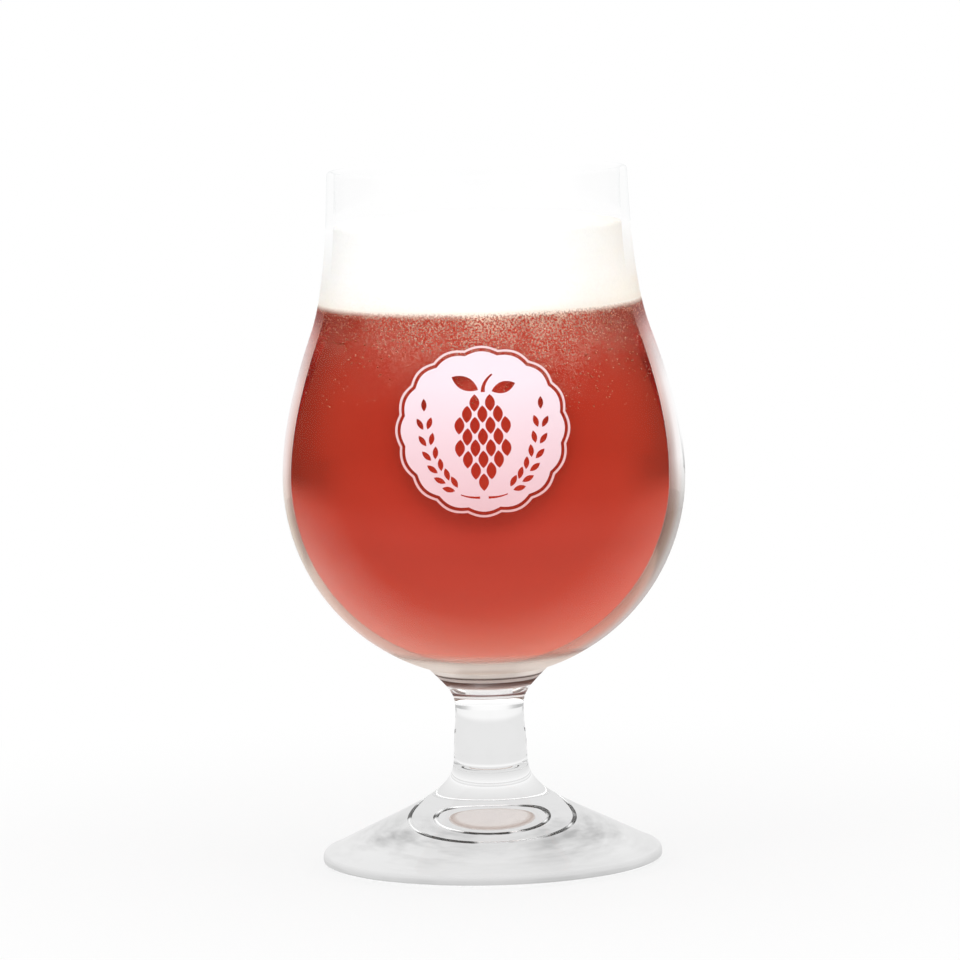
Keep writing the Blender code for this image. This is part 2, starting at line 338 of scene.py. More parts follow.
def smudgeShadedGlass(radius):
    # the underside stands on the table; its see-through colour carries painted shade: grey streaks round
    # the axis, most of them at the front sides
    material, tree = bareMaterial("smudge shaded glass")
    turned, away, level = turnedNode(tree, 1.5, 150.0)
    streak = addNode(tree, "TexNoise", {"W": 2.3, "Scale": 1.0, "Detail": 3.0, "Roughness": 0.6,
                                        "Vector": (turned, 0)}, noise_dimensions="4D")
    strong = rangeNode(tree, (streak, "Fac"), 0.42, 0.66)
    share = rangeNode(tree, (away, "Value"), 0.0, radius)
    amount = rampNode(tree, (share, "Result"), [
        (0.2, 0.1), (0.26, 0.15), (0.3, 0.7), (0.4, 0.5),
        (0.46, 1), (0.62, 0.9), (0.78, 0.3), (1.0, 0.15)])
    across = addNode(tree, "SeparateXYZ", {0: (level, 0)})
    sideways = mathNode(tree, "ABSOLUTE", (across, "X"))
    beside = rangeNode(tree, (sideways, 0), 0.0, 0.9, 0.25, 1.0)
    forward = rangeNode(tree, (across, "Y"), 0.5, -0.2, 0.15, 1.0)
    ringed = mathNode(tree, "MULTIPLY", (strong, "Result"), (amount, "Color"))
    sided = mathNode(tree, "MULTIPLY", (ringed, 0), (beside, "Result"))
    streaked = mathNode(tree, "MULTIPLY", (sided, 0), (forward, "Result"), clamp=True)
    shade = rampNode(tree, (streaked, 0), [(0.0, 1), (0.5, 0.8), (1.0, 0.56)])
    clear = addNode(tree, "BsdfTransparent", {"Color": (shade, "Color")})
    show(tree, clear, "BSDF")
    return material


def mouldStepPaintedDark():
    # the steps of the mould get near-black strokes in places, a painted dark reflection
    material, tree, shader = newMaterial("mould step painted dark")
    shader.inputs["Base Color"].default_value = (0.9, 0.9, 0.9, 1)
    shader.inputs["IOR"].default_value = glassSet["ior"]
    shader.inputs["Transmission Weight"].default_value = 1
    shader.inputs["Roughness"].default_value = 0.1
    paintedDark = addNode(tree, "BsdfDiffuse", {"Color": (0.03, 0.028, 0.026, 1)})
    turned = turnedNode(tree, 1.7, 300.0)[0]
    paintedPatchNoise = addNode(tree, "TexNoise", {"Scale": 1.0, "Detail": 1.0, "Vector": (turned, 0)})
    dark = rampNode(tree, (paintedPatchNoise, "Fac"), [(0.41, 0.9), (0.46, 0.4), (0.5, 0.05)])
    marked = shaderMix(tree, (dark, "Color"), (shader, "BSDF"), (paintedDark, "BSDF"))
    show(tree, marked)
    return material


def fusedSeam():
    # where two gathers of glass are melted together nothing shows
    material, tree = newMaterial("fused seam")[:2]
    clear = addNode(tree, "BsdfTransparent")
    show(tree, clear, "BSDF")
    return material


def bendingShader(tree, colour, ior, roughness, mirror):
    # bends light, mirrors a share of what plain glass would, and all of it past the critical angle
    bend = addNode(tree, "BsdfRefraction", {"Color": (*colour, 1), "Roughness": roughness, "IOR": ior})
    gloss = addNode(tree, "BsdfAnisotropic", {"Color": (1, 1, 1, 1), "Roughness": roughness})
    fresnel = addNode(tree, "Fresnel", {"IOR": ior})
    share = rampNode(tree, (fresnel, "Fac"), [(0.0, 0), (0.6, mirror * 0.6), (0.9, 1)])
    mix = shaderMix(tree, (share, "Color"), (bend, "BSDF"), (gloss, "BSDF"))
    return mix, (bend, gloss)


def clearGlass(tree, mirror):
    return bendingShader(tree, (1, 1, 1), glassSet["ior"], 0.0, mirror)


def stemGlass():
    material, tree = bareMaterial("stem glass")
    mix, lobes = clearGlass(tree, 0.3)
    glassWaves(tree, *lobes)
    show(tree, mix)
    return material


def bellyGlass():
    material, tree = bareMaterial("belly glass")
    mix, lobes = clearGlass(tree, 0.05)
    parts = objectParts(tree)[1]
    glassWaves(tree, *lobes)
    # light that would run on inside the wall for ever leaves it
    side = addNode(tree, "NewGeometry")
    caught = addNode(tree, "Fresnel", {"IOR": glassSet["ior"]})
    past = mathNode(tree, "GREATER_THAN", (caught, "Fac"), 0.95)
    # and the wall bends less towards the neck
    top = headHigh.z
    thin = rangeNode(tree, (parts, "Z"), top - glassSet["thinDrop"], top - glassSet["neckDrop"])
    within = mathNode(tree, "MULTIPLY_ADD", (past, 0), (side, "Backfacing"), (thin, "Result"), clamp=True)
    clear = addNode(tree, "BsdfTransparent")
    out = shaderMix(tree, (within, 0), (mix, "Shader"), (clear, "BSDF"))
    show(tree, out)
    return material


def footGlass():
    # painted shade: the see-through colour darkens towards the thin edge of the foot on the table
    material, tree = bareMaterial("foot glass")
    mix, lobes = clearGlass(tree, 0.2)
    parts = objectParts(tree)[1]
    glassWaves(tree, *lobes)
    rise = rangeNode(tree, (parts, "Z"), 0.0, footSet["clearRise"])
    shade = rampNode(tree, (rise, "Result"), [(0.0, 0.74), (0.3, 0.82), (0.55, 0.93), (1.0, 1)])
    feed(lobes[0], "Color", shade, "Color")
    show(tree, mix)
    return material


def neckGlass():
    # thin and true: it doesn't bend what is behind it, and is grey and shiny along the wall
    material, tree = bareMaterial("neck glass")
    gloss = addNode(tree, "BsdfAnisotropic", {"Color": (1, 1, 1, 1), "Roughness": 0.02})
    slant = addNode(tree, "LayerWeight")
    deep = rampNode(tree, (slant, "Facing"), [
        (0.75, 1), (0.9, (0.97, 0.975, 0.975)), (0.96, (0.92, 0.93, 0.93)), (1.0, (0.78, 0.8, 0.8))])
    clear = addNode(tree, "BsdfTransparent", {"Color": (deep, "Color")})
    share = rampNode(tree, (slant, "Facing"), [
        (0.0, 0.005), (0.6, 0.02), (0.8, 0.08), (0.9, 0.25), (1.0, 0.6)])
    shine = shaderMix(tree, (share, "Color"), (clear, "BSDF"), (gloss, "BSDF"))
    glassWaves(tree, gloss)
    show(tree, shine)
    return material


def collarGlass(top):
    # painted reflection: the joint under the bowl is painted with brown lines of the drink and a pale band
    # between them
    material, tree = bareMaterial("collar glass")
    mix = clearGlass(tree, 0.3)[0]
    parts = objectParts(tree)[1]
    rise = rangeNode(tree, (parts, "Z"), top - glassSet["bandDrop"], top + glassSet["bandRise"])
    tone = rampNode(tree, (rise, "Result"), [
        (0.0, (0.3, 0.17, 0.16)), (0.078, (0.3, 0.17, 0.16)),  # reddish line
        (0.093, (0.99, 0.95, 0.94)), (0.2, (0.99, 0.95, 0.94)),
        (0.228, (0.3, 0.17, 0.14)), (0.3, (0.17, 0.09, 0.075)), (0.37, (0.1, 0.055, 0.045)),  # brown band
        (0.39, (0.8, 0.7, 0.67)), (0.444, (0.8, 0.7, 0.67)),
        (0.459, (0.08, 0.05, 0.04)), (0.48, (0.1, 0.06, 0.05)),  # dark line
        (0.51, (0.99, 0.9, 0.84)), (1.0, (1.0, 0.87, 0.78))])
    paintedBands = addNode(tree, "BsdfDiffuse", {"Color": (tone, "Color")})
    share = rampNode(tree, (rise, "Result"), [
        (0.0, 0.0), (0.051, 0.1), (0.066, 0.9), (0.078, 0.9), (0.093, 0.5), (0.12, 0.6), (0.2, 0.6),
        (0.228, 0.8), (0.28, 0.95), (0.372, 1.0), (0.384, 0.6), (0.4, 0.5), (0.444, 0.5), (0.459, 0.85),
        (0.474, 0.85), (0.495, 0.6), (0.51, 0.75), (0.6, 0.85), (0.7, 0.85), (0.8, 0.8), (0.88, 0.7),
        (0.94, 0.45), (0.98, 0.1)])
    # the bottom of the bowl above the seam mirrors the table
    cream = addNode(tree, "BsdfAnisotropic", {"Roughness": 0.3, "Color": (tone, "Color")})
    above = rangeNode(tree, (rise, "Result"), 0.495, 0.52)
    lines = shaderMix(tree, (above, "Result"), (paintedBands, "BSDF"), (cream, "BSDF"))
    turned = turnedNode(tree, 2.5, 200.0)[0]
    paintedPatchNoise = addNode(tree, "TexNoise", {"Scale": 1.0, "Detail": 2.0, "Vector": (turned, 0)})
    patchy = rangeNode(tree, (paintedPatchNoise, "Fac"), 0.3, 0.6, 0.92, 1.0)
    cover = mathNode(tree, "MULTIPLY", (patchy, "Result"), (share, "Color"), clamp=True)
    banded = shaderMix(tree, (cover, 0), (mix, "Shader"), (lines, "Shader"))
    # and the lowest pale band is clear
    clear = addNode(tree, "BsdfTransparent")
    window = rampNode(tree, (rise, "Result"), [(0.088, 0), (0.1, 0.65), (0.2, 0.65), (0.225, 0)])
    opened = shaderMix(tree, (window, "Color"), (banded, "Shader"), (clear, "BSDF"))
    show(tree, opened)
    return material


wetSet = {
    # heights over the table, and distances from the middle
    "dimFrom": 87 * mm, "dimTo": 76 * mm, "warmFrom": 66 * mm, "warmTo": 53 * mm, "half": 40 * mm,
    "hazeFrom": 45 * mm, "hazeTo": 65 * mm, "flushFrom": 86 * mm, "flushTo": 66 * mm, "leftHalf": 20 * mm,
    "clingDrop": 18 * mm,
}

def wettedGlass():
    # clear against the beer, hazy on the pad at the bottom where the bubbles start
    s = wetSet
    material, tree = bareMaterial("wetted glass")
    mix, lobes = clearGlass(tree, 0.0)
    parts = objectParts(tree)[1]
    slant = addNode(tree, "LayerWeight")
    # painted reflection: the mirror colour turns pink where the wall is seen nearly edge-on beside the
    # beer
    blush = rampNode(tree, (slant, "Facing"), [
        (0.25, (0.72, 0.42, 0.36)), (0.262, (0.82, 0.62, 0.58)), (0.282, (0.93, 0.87, 0.86)), (0.3, 1)])
    # the lower wall is thicker; its mirror colour is darkened there, most of all on the right: painted
    # shade
    paintedLowDim = rangeNode(tree, (parts, "Z"), s["dimFrom"], s["dimTo"])
    plain = rangeNode(tree, (parts, "X"), -s["half"], s["half"], 0.72, 0.52)
    # and near the beer the mirror colour is painted with the beer's colour, warmer towards the bottom: a
    # painted reflection
    rightward = rangeNode(tree, (parts, "X"), -s["half"], s["half"])
    lowness = rangeNode(tree, (parts, "Z"), s["warmFrom"], s["warmTo"])
    highTint = colourMix(tree, (rightward, "Result"), (0.78, 0.75, 0.66, 1), (0.54, 0.42, 0.35, 1))
    lowTint = colourMix(tree, (rightward, "Result"), (1.0, 0.75, 0.65, 1), (0.88, 0.35, 0.25, 1))
    tint = colourMix(tree, (lowness, "Result"), (highTint, mixed), (lowTint, mixed))
    inward = rampNode(tree, (slant, "Facing"), [(0.274, 1), (0.286, 0.55), (0.293, 0.2)])
    toned = colourMix(tree, (inward, "Color"), (plain, "Result"), (tint, mixed))
    dim = colourMix(tree, (paintedLowDim, "Result"), (1, 1, 1, 1), (toned, mixed))
    dimmed = colourMix(tree, 1.0, (blush, "Color"), (dim, mixed), "MULTIPLY")
    feed(lobes[1], "Color", dimmed, mixed)
    # the haze, and a painted pale flush along the lower edge, where the wall is seen edge-on, stronger on
    # the left
    rise = rangeNode(tree, (parts, "Z"), s["hazeFrom"], s["hazeTo"])
    fade = rampNode(tree, (rise, "Result"), [
        (0.03, 0.9), (0.13, 0.5), (0.17, 0.16), (0.22, 0.05), (0.4, 0.015), (1.0, 0)])
    low = rangeNode(tree, (parts, "Z"), s["flushFrom"], s["flushTo"], 0.0, 0.2)
    edge = rampNode(tree, (slant, "Facing"), [(0.13, 0), (0.2, 0.45), (0.25, 1)])
    leftward = rangeNode(tree, (parts, "X"), -s["leftHalf"], s["leftHalf"], 1.0, 0.4)
    lowEdge = mathNode(tree, "MULTIPLY", (edge, "Color"), (low, "Result"))
    hazeAndPaintedFlush = mathNode(tree, "MULTIPLY_ADD", (lowEdge, 0), (leftward, "Result"), (fade, "Color"), clamp=True)
    # bubbles cling under the head, and the wall bends nothing there
    below = rangeNode(tree, (parts, "Z"), beerHigh.z, beerHigh.z - s["clingDrop"])
    cling = rampNode(tree, (below, "Result"), [(0.0, 1), (0.2, 0.85), (0.5, 0.4), (1.0, 0)])
    clear = addNode(tree, "BsdfTransparent")
    clinging = shaderMix(tree, (cling, "Color"), (mix, "Shader"), (clear, "BSDF"))
    etchAndPaintedFlush = addNode(tree, "BsdfDiffuse", {"Color": (1.0, 0.86, 0.78, 1)})
    hazy = shaderMix(tree, (hazeAndPaintedFlush, 0), (clinging, "Shader"), (etchAndPaintedFlush, "BSDF"))
    show(tree, hazy)
    return material


def markSeam(bm, height):
    for face in bm.faces:
        if all(abs(v.co.z - height) < tiny for v in face.verts):
            face.material_index = 1


def markBelly(bm):
    # 0 neck, 1 where the head clings to the wall, 2 against the beer, 3 outside, 4 outside by the seam
    inside = set()
    for face in bm.faces:
        middle = face.calc_center_median()
        inward = face.normal.dot(Vector((middle.x, middle.y, middle.z - bellyHeight))) < 0
        if inward and middle.z < headHigh.z:
            face.material_index = 1 if middle.z > beerHigh.z else 2
        elif middle.z < headHigh.z - glassSet["neckDrop"]:
            face.material_index = 3 if middle.z > collarHeight + glassSet["baseRise"] else 4
        if inward and middle.z < rimHeight - glassSet["rimWall"]:
            inside.update(face.verts)
    setOff(bm, inside)


def markUnderside(bm, plain):
    # 1 seam, 2 dimple, 3 upper side and edge, 4 steps of the mould, 5 plain rings
    f = footSet
    up, down = 0.1, -0.3      # which way a face looks
    for face in bm.faces:
        middle = face.calc_center_median()
        away = math.hypot(middle.x, middle.y)
        if face.normal.z > up and middle.z > f["upperFrom"]:
            face.material_index = 3
        elif middle.z < f["underTo"] and away < plain[0][0]:
            face.material_index = 4
        if middle.z < f["underTo"] and face.normal.z < down:
            if any(low < away < high for low, high in plain):
                face.material_index = 5
            if 0 < away < f["dimpleRadius"]:
                face.material_index = 2
        if away > footRadius - f["edgeBand"] and middle.z < f["edgeTo"] and face.normal.z > down:
            face.material_index = 3


def discPoints(radius, height):
    # from the axis outwards, short of the edge
    return [(radius * share, height) for share in (0, 0.25, 0.5, 0.75)]


def makeBowl(seam, joint):
    s = glassSet
    half = s["rimWall"] / 2
    rim = arcPoints((s["rimDiameter"] / 2 - half, rimHeight - half), half, math.pi, 0, count=12)
    seatHeight = collarHeight + s["seamGap"]
    seatRadius = math.sqrt(bellyRadius**2 - (bellyHeight - seatHeight) ** 2)
    seat = [(seatRadius, seatHeight)] + discPoints(seatRadius, seatHeight)[::-1]
    bm = spinShape(bowlInside() + rim[1:-1] + bowlOutside()[:0:-1] + seat, s["steps"])
    markBelly(bm)
    markSeam(bm, seatHeight)
    return pieceFrom(bm, "glass_bowl", [neckGlass(), seam, wettedGlass(), bellyGlass(), joint])


def makeStem(shank, seam, joint):
    s = stemSet
    flare = (collarRadius - s["waistRadius"]) * s["collarPull"]
    waist = (s["waistRadius"], collarHeight - s["collar"])
    collar = bezier((collarRadius, collarHeight),
                    (collarRadius - flare, collarHeight - flare * math.tan(s["slope"])),
                    (waist[0], waist[1] + s["collar"] * s["pull"]), waist, count=24)
    pull = (waist[1] - footTop) * s["pull"]
    lower = bezier(waist, (waist[0], waist[1] - pull),
                   (s["lowRadius"], footTop + pull), (s["lowRadius"], footTop), count=16)
    cap, lowerCap = discPoints(collarRadius, collarHeight), discPoints(s["lowRadius"], footTop)
    bm = spinShape(cap + collar + lower[1:] + lowerCap[::-1], glassSet["steps"])
    for face in bm.faces:
        if face.calc_center_median().z > collarHeight - glassSet["bandDrop"]:
            face.material_index = 2
    markSeam(bm, collarHeight)
    markSeam(bm, footTop)
    return pieceFrom(bm, "glass_stem", [shank, seam, joint])


def makeFoot(shank, seam):
    f = footSet
    top = footTop - glassSet["seamGap"]
    neck = stemSet["lowRadius"]
    shoulder = (footRadius - f["rounding"], f["edge"])
    reach = (shoulder[0] - neck) * f["edgePull"]
    trumpet = bezier((neck, top), (neck, top - (top - f["edge"]) * f["topPull"]),
                     (shoulder[0] - reach, shoulder[1] + reach * math.tan(f["slope"])), shoulder, count=36)
    upperEdge = arcPoints((shoulder[0], f["edge"] - f["rounding"]), f["rounding"], math.pi / 3, 0, count=8)
    lowerEdge = arcPoints((shoulder[0], f["rounding"]), f["rounding"], 0, -math.pi / 2, count=10)
    ringInner = shoulder[0] - f["ring"]
    groove, depth = f["groove"], f["kickDepth"]
    span = ringInner - f["kickRadius"]
    kick = bezier((ringInner, 0), (ringInner - span * f["ringPull"], 0),
                  (f["kickRadius"] + span * f["kickPull"], depth),
                  (f["kickRadius"] + groove, depth), count=20)
    rings = []
    for radius in (f["kickRadius"], f["midRadius"]):
        rings += arcPoints((radius, depth), groove, 0, math.pi, count=8)
    hollow, roof = f["dimpleRadius"], depth + f["dimpleDepth"]
    dimple = bezier((hollow, depth), (hollow * f["dimpleRim"], depth + f["dimpleDepth"] * f["dimpleRise"]),
                    (hollow * f["dimpleFlat"], roof), (0, roof), count=20)
    plain = [(f["kickRadius"] + groove, footRadius), (f["midRadius"] + groove, f["kickRadius"] - groove),
             (hollow, f["midRadius"] - groove)]
    bm = spinShape(discPoints(neck, top) + trumpet + upperEdge + lowerEdge + kick + rings[1:] + dimple,
                   glassSet["steps"])
    markUnderside(bm, plain)
    markSeam(bm, top)
    return pieceFrom(bm, "glass_foot", [
        shank, seam, pressedGlass(hollow), footGlass(), mouldStepPaintedDark(), smudgeShadedGlass(footRadius),
    ])


def makeGlass():
    shank, seam, joint = stemGlass(), fusedSeam(), collarGlass(collarHeight)
    bowl = makeBowl(seam, joint)
    stem = makeStem(shank, seam, joint)
    foot = makeFoot(shank, seam)
    for piece, node in ((bowl, "bowl"), (stem, "stem"), (foot, "foot")):
        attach(piece, "root")
        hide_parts(node)

makeGlass()
print("glass turned")


# beer

beerSet = {
    "steps": 160, "gap": 0.05 * mm, "ior": 1.33, "density": 20.0,
    "paleFrom": 42 * mm, "paleTo": 92 * mm, "fogDrop": 20 * mm, "half": 36 * mm,
    "shadeDrop": 2.5 * mm, "shadeFrom": 12 * mm, "shadeTo": 26 * mm,      # what the print shades
    "frontFrom": -22 * mm, "frontTo": -14 * mm,
}

def redBeer():
    s = beerSet
    material, tree = bareMaterial("red beer")
    mix, lobes = bendingShader(tree, (0.82, 0.36, 0.22), s["ior"], 0.06, 0.0)
    body = addNode(tree, "VolumeAbsorption", {"Color": (0.775, 0.05, 0.08, 1), "Density": s["density"]})
    # paler towards the bottom of the bowl
    place, parts = objectParts(tree)
    depth = rangeNode(tree, (parts, "Z"), s["paleFrom"], s["paleTo"])
    shade = rampNode(tree, (depth, "Result"), [
        (0.0, (0.8, 0.7, 0.57)), (0.12, (0.76, 0.61, 0.46)), (0.36, (0.81, 0.48, 0.37)),
        (0.66, (0.88, 0.49, 0.38)), (0.8, (0.81, 0.38, 0.26))])
    # a painted shadow of the print on the beer behind it, most of it below
    shadeHeight = (fieldLow.z + fieldHigh.z) / 2 - s["shadeDrop"]
    offset = vectorNode(tree, "SUBTRACT", (place, "Object"), (0, 0, shadeHeight))
    facing = vectorNode(tree, "MULTIPLY", (offset, 0), (1, 0, 1))
    aside = vectorNode(tree, "LENGTH", (facing, 0))
    spread = rangeNode(tree, (aside, "Value"), s["shadeFrom"], s["shadeTo"])
    ringShade = rampNode(tree, (spread, "Result"), [
        (0.0, 1), (0.1, 0.8), (0.2, 0.68), (0.35, 0.78), (0.5, 0.93), (0.65, 1)])
    inFront = rangeNode(tree, (parts, "Y"), s["frontFrom"], s["frontTo"], 1.0, 0.0)
    shaded = colourMix(tree, (inFront, "Result"), (shade, "Color"), (ringShade, "Color"), "MULTIPLY")
    feed(lobes[0], "Color", shaded, mixed)
    # a fog of fine bubbles hangs under the head, in patches
    under = rangeNode(tree, (parts, "Z"), beerHigh.z, beerHigh.z - s["fogDrop"])
    fog = rampNode(tree, (under, "Result"), [
        (0.0, 0.5), (0.03, 0.4), (0.1, 0.27), (0.25, 0.23), (0.42, 0.15), (0.65, 0.06), (1.0, 0)])
    grains = addNode(tree, "TexNoise", {"Scale": 2300.0, "Detail": 2.0, "Roughness": 0.6,
                                        "Vector": (place, "Object")})
    grainy = rangeNode(tree, (grains, "Fac"), 0.42, 0.62, 0.15, 1.9)
    drift = addNode(tree, "TexNoise", {"Scale": 110.0, "Detail": 3.0, "Vector": (place, "Object")})
    patchy = rangeNode(tree, (drift, "Fac"), 0.3, 0.7, 0.3, 1.7)
    # less of it towards the sides, most of it right of the middle
    across = rangeNode(tree, (parts, "X"), -s["half"], s["half"])
    sides = rampNode(tree, (across, "Result"), [
        (0.0, 0.06), (0.12, 0.2), (0.3, 0.6), (0.5, 0.8), (0.75, 0.9), (0.92, 0.25), (1.0, 0.06)])
    speckle = mathNode(tree, "MULTIPLY", (grainy, "Result"), (patchy, "Result"))
    placed = mathNode(tree, "MULTIPLY", (speckle, 0), (sides, "Color"))
    # and a skin of froth right under it
    skin = rampNode(tree, (under, "Result"), [
        (0.0, 1), (0.02, 0.75), (0.04, 0.4), (0.06, 0.12), (0.09, 0)])
    cover = mathNode(tree, "MULTIPLY_ADD", (placed, 0), (fog, "Color"), (skin, "Color"), clamp=True)
    pale = rampNode(tree, (under, "Result"), [
        (0.0, (0.88, 0.83, 0.76)), (0.03, (0.85, 0.75, 0.65)), (0.07, (0.79, 0.62, 0.48)),
        (0.1, (0.78, 0.6, 0.46))])
    froth = addNode(tree, "BsdfDiffuse", {"Color": (pale, "Color")})
    cloud = shaderMix(tree, (cover, 0), (mix, "Shader"), (froth, "BSDF"))
    show(tree, cloud)
    feed(tree.nodes["Material Output"], "Volume", body, "Volume")
    return material


def makeBeer():
    s = beerSet
    wet = [(r - s["gap"], z) for r, z in bowlInside() if r > glassSet["padRadius"]]
    pad = [(r, z + s["gap"]) for r, z in bowlInside() if r < glassSet["padRadius"] - tiny]
    side = stretch(wet, pad[0][1], beerHigh.z)
    top = [(side[-1][0] * share, beerHigh.z) for share in (0.9, 0.75, 0.6, 0.45, 0.3, 0.15, 0)]
    bm = spinShape(pad + side + top, s["steps"])
    setOff(bm)
    beer = pieceFrom(bm, "red_beer", [redBeer()])
    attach(beer, "root")
    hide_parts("beer")

makeBeer()
print("beer poured")


# foam head

headSet = {
    "steps": 240, "gap": 0.05 * mm, "sit": 0.02 * mm, "edge": 1.2 * mm, "crown": 1.6 * mm,
    "slopePull": 0.7, "slopeRise": 0.8 * mm, "crownPull": 0.4,
    "lump": 0.5 * mm, "swell": 130, "pores": 420, "settle": 0.6, "creamRise": 12 * mm, "half": 36 * mm,
}

def whiteFroth():
    material, tree, shader = newMaterial("white froth")
    shader.inputs["Specular IOR Level"].default_value = 0.3
    shader.inputs["Subsurface Weight"].default_value = 0.2
    shader.inputs["Subsurface Radius"].default_value = (0.004, 0.003, 0.002)
    place, parts = objectParts(tree)
    # painted shade: the froth is darker and creamier towards the bottom of the head
    rise = rangeNode(tree, (parts, "Z"), headLow.z, headLow.z + headSet["creamRise"])
    cream = rampNode(tree, (rise, "Result"), [
        (0.0, (0.91, 0.87, 0.81)), (0.12, (0.93, 0.91, 0.87)), (0.5, (0.96, 0.95, 0.935)),
        (1.0, (0.97, 0.97, 0.96))])
    # painted shade: creamier and darker towards the sides, most on the right
    across = rangeNode(tree, (parts, "X"), -headSet["half"], headSet["half"])
    flank = rampNode(tree, (across, "Result"), [
        (0.0, (0.97, 0.95, 0.92)), (0.12, (1.0, 0.99, 0.98)), (0.25, 1), (0.7, 1),
        (0.9, (0.97, 0.93, 0.88)), (1.0, (0.92, 0.87, 0.8))])
    sided = colourMix(tree, 1.0, (cream, "Color"), (flank, "Color"), "MULTIPLY")
    cells = addNode(tree, "TexVoronoi", {"Scale": 1500.0, "Vector": (place, "Object")})
    coarse = addNode(tree, "TexVoronoi", {"Scale": 420.0, "Vector": (place, "Object")})
    both = mathNode(tree, "MULTIPLY_ADD", (coarse, "Distance"), (cells, "Distance"), 0.5)
    tone = rangeNode(tree, (cells, "Distance"), 0.0, 0.9, 1.0, 0.965)
    tint = addNode(tree, "VectorMath", {0: (sided, mixed), "Scale": (tone, "Result")}, operation="SCALE")
    rough = rangeNode(tree, (coarse, "Distance"), 0.0, 0.9, 0.55, 0.85)
    bump = addNode(tree, "Bump", {"Strength": 0.3, "Distance": 0.0004, "Height": (both, 0)})
    feed(shader, "Base Color", tint, 0)
    feed(shader, "Roughness", rough, "Result")
    feed(shader, "Normal", bump, "Normal")
    return material


def makeHead():
    s = headSet
    wet = [(r - s["gap"], z) for r, z in bowlInside() if r > glassSet["padRadius"]]
    crown = headHigh.z
    shoulder = crown - s["crown"]
    foot = beerHigh.z + s["sit"]
    side = stretch(wet, foot, shoulder - s["edge"])
    edge = (side[-1][0] - s["edge"], shoulder)
    bead = arcPoints((edge[0], shoulder - s["edge"]), s["edge"], 0, math.pi / 2, count=8)
    top = bezier(edge, (edge[0] * s["slopePull"], shoulder + s["slopeRise"]),
                 (edge[0] * s["crownPull"], crown), (0, crown), count=40)
    floor = [(side[0][0] * share, foot) for share in (0, 0.2, 0.4, 0.6, 0.8)]
    bm = spinShape(floor + side + bead[1:-1] + top, s["steps"])
    # the top settles unevenly, with hollows where large bubbles broke
    for vert in bm.verts:
        if vert.co.z > shoulder - 0.9 * s["edge"]:
            swell = noise.noise(vert.co * s["swell"]) + 0.5 * noise.noise(vert.co * s["pores"])
            lift = min((vert.co.z - shoulder + s["edge"]) / s["edge"], 1)
            vert.co.z += s["lump"] * lift * (swell - s["settle"])
    setOff(bm)
    head = pieceFrom(bm, "foam_crown", [whiteFroth()])
    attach(head, "root")
    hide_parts("foam_head")

makeHead()
print("head set")


# bubbles clinging to the glass under the head

bubbleSet = {
    "count": 4200, "seed": 7, "small": 0.09 * mm, "large": 0.26 * mm, "reach": 21 * mm, "gap": 0.02 * mm,
    "mean": 6 * mm, "least": 0.3 * mm, "crowd": 0.45, "patch": 160, "rightward": 0.3, "batch": 60,
}

def bubbleSkin():
    material, tree, shader = newMaterial("bubble skin")
    shader.inputs["Roughness"].default_value = 0.3
    place = addNode(tree, "TexCoord")
    tone = addNode(tree, "TexNoise", {"Scale": 900.0, "Detail": 1.0, "Vector": (place, "Object")})
    shade = rampNode(tree, (tone, "Fac"), [(0.35, (0.62, 0.33, 0.22)), (0.65, (0.9, 0.72, 0.56))])
    feed(shader, "Base Color", shade, "Color")
    return material


def makeBubbles():
    s = bubbleSet
    chance = random.Random(s["seed"])
    wet = [p for p in bowlInside() if p[0] > glassSet["padRadius"]]
    spots = []
    while len(spots) < s["count"]:
        depth = chance.expovariate(1 / s["mean"]) + s["least"]
        turn = chance.uniform(0, math.tau)
        height = beerHigh.z - min(depth, s["reach"])
        away = radiusAt(wet, height)
        spot = Vector((math.cos(turn) * away, math.sin(turn) * away, height))
        crowd = s["crowd"] + noise.noise(spot * s["patch"]) + s["rightward"] * math.cos(turn)
        if depth < s["reach"] and chance.random() < crowd:
            radius = s["small"] + (s["large"] - s["small"]) * chance.random() ** 3
            inward = 1 - (radius + s["gap"]) / spot.xy.length
            middle = Matrix.Translation((spot.x * inward, spot.y * inward, height))
            spots.append((middle @ Matrix.Rotation(turn, 4, "Z"), radius))
    # in batches, which is faster than one growing mesh
    bm = bmesh.new()
    for start in range(0, len(spots), s["batch"]):
        batch = bmesh.new()
        for place, radius in spots[start:start + s["batch"]]:
            bmesh.ops.create_icosphere(batch, subdivisions=1, radius=radius, matrix=place)
        part = bpy.data.meshes.new("batch")
        batch.to_mesh(part)
        batch.free()
        bm.from_mesh(part)
        bpy.data.meshes.remove(part)
    setOff(bm)
    bubbles = pieceFrom(bm, "fine_bubbles", [bubbleSkin()], 80)
    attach(bubbles, "root")

makeBubbles()
print("bubbles risen")


# printed medallion

printSet = {
    "rise": 13.8 * mm, "field": 34.9 * mm, "line": 37.4 * mm, "lineWidth": 0.5 * mm, "squash": 0.96,
    "lobes": 16, "lobeDepth": 0.7 * mm, "low": 0.02 * mm, "high": 0.14 * mm, "cell": 1.6 * mm,
    "count": 320,
}

# the motif, in units of about a millimetre
coneSet = {
    "rows": (2, 3, 4, 3, 4, 3, 2, 1), "across": 3.3, "top": 6.2, "down": 2.5, "length": 3.9, "width": 2.15,
}
earSet = {
    "curve": ((1.6, -14.4), (8.0, -13.6), (12.4, -7.0), (12.6, 3.6)), "points": 17, "first": 5,
    "stalk": ((0.9, -14.7), (2.6, -14.7), (3.9, -14.5), (5.0, -14.0)), "stalkWidth": 0.55,
    "length": 2.9, "width": 1.25, "apart": 1.05, "lean": 24, "tip": 2.2,
}
unitAcross, unitUp = 0.97 * mm, 0.94 * mm

